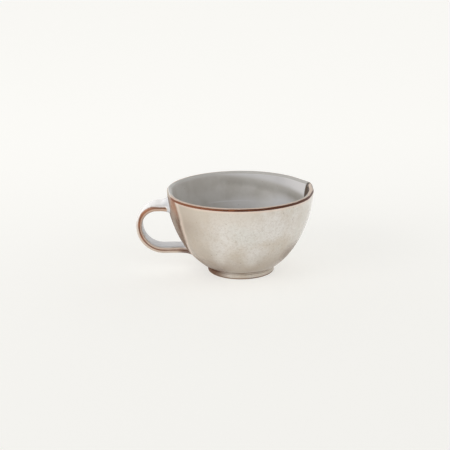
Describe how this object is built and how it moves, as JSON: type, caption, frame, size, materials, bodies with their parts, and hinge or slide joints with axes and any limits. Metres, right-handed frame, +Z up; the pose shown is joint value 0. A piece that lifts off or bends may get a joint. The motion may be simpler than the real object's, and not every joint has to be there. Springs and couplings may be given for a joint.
{
  "type": "cappuccino cup",
  "caption": "Wide stoneware cappuccino cup: flaring glazed bowl on a foot ring, iron-brown rim, and a pulled strap handle on flared roots.",
  "frame": {"origin": "on the cup's axis, in the plane that the foot ring stands on", "axes": "+Z up along the cup's axis, -X towards the handle, so the pour mark is at +X"},
  "size_m": [0.1326, 0.11, 0.0628],
  "materials": {
    "stoneware": "bare fired clay",
    "liner_glaze": "gloss",
    "outer_glaze": "gloss, speckled",
    "iron_glaze": "satin",
    "strap_glaze": "gloss",
    "root_glaze": "gloss"
  },
  "bodies": {
    "root": {"bowl": "stoneware", "foot_ring": "stoneware", "strap": "stoneware", "upper_root": "root_glaze", "lower_root": "root_glaze", "liner_glaze": "liner_glaze", "outer_glaze": "outer_glaze", "rim_band": "iron_glaze", "foot_glaze": "outer_glaze", "strap_glaze": "strap_glaze", "pour_mark": "iron_glaze"}
  },
  "joints": []
}
